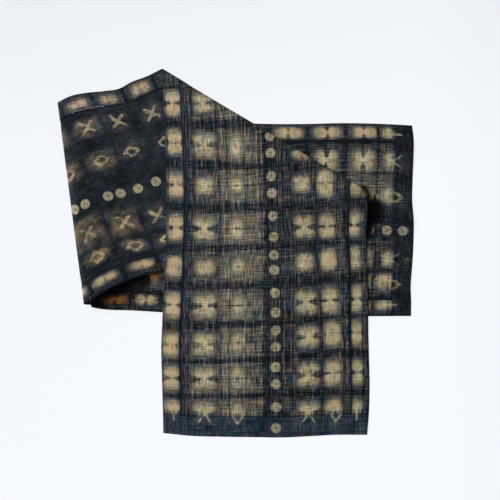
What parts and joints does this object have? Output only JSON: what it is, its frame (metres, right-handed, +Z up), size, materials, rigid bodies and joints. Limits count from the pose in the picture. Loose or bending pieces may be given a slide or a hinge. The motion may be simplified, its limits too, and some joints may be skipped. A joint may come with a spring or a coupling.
{
  "type": "folded shibori dyed cloth",
  "caption": "Long hemmed strip of hand-woven, indigo-dyed cloth, folded back in a loose loop at one side and then diagonally, so that its last run lies on top and points forward.",
  "frame": {"origin": "bottom centre of the folded cloth's bounding box, on the surface it lies on", "axes": "+Z up from the surface, +Y towards the back, away from the front hemmed end, +X to the right, towards the other hemmed end"},
  "size_m": [0.6397, 0.6638, 0.025],
  "materials": {
    "dyed_cloth": "matte hand-woven cotton, dark indigo ground with undyed cream and tan resist marks"
  },
  "bodies": {
    "root": {"cloth": "dyed_cloth"}
  },
  "joints": []
}
